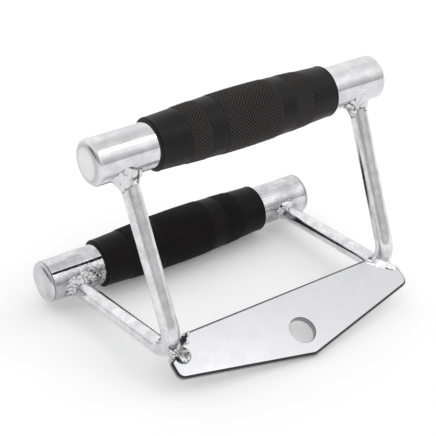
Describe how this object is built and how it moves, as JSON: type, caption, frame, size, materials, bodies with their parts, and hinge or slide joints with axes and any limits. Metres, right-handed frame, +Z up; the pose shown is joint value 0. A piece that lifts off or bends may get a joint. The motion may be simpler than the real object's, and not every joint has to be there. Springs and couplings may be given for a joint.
{
  "type": "close-grip v row handle",
  "caption": "Welded V-shaped row handle with two parallel gripped tubes, bent rod sides and a flat plate with an attachment hole.",
  "frame": {"origin": "centre of the bottom of the bounding box, on the floor that the handle rests on", "axes": "+X along the two handles, +Y from the plate's lower corner to the rear handle, +Z up, as the handle lies on its rear grip and its plate's corner"},
  "size_m": [0.19, 0.1522, 0.1357],
  "materials": {
    "plate_chrome": "bright plated, lightly brushed",
    "rod_chrome": "bright plated with drawing marks",
    "tube_chrome": "bright plated",
    "cap_chrome": "bright plated, satin face",
    "weld_chrome": "plated over an uneven weld",
    "grip_rubber": "matte, diamond knurled"
  },
  "bodies": {
    "root": {"plate": "plate_chrome", "left_v_bar": "rod_chrome", "right_v_bar": "rod_chrome", "front_handle_tube": "tube_chrome", "rear_handle_tube": "tube_chrome", "front_left_end_cap": "cap_chrome", "front_right_end_cap": "cap_chrome", "rear_left_end_cap": "cap_chrome", "rear_right_end_cap": "cap_chrome", "front_grip": "grip_rubber", "rear_grip": "grip_rubber", "front_left_handle_weld": "weld_chrome", "front_right_handle_weld": "weld_chrome", "rear_left_handle_weld": "weld_chrome", "rear_right_handle_weld": "weld_chrome", "left_front_plate_weld": "weld_chrome", "left_rear_plate_weld": "weld_chrome", "left_root_weld": "weld_chrome", "right_front_plate_weld": "weld_chrome", "right_rear_plate_weld": "weld_chrome", "right_root_weld": "weld_chrome"}
  },
  "joints": []
}
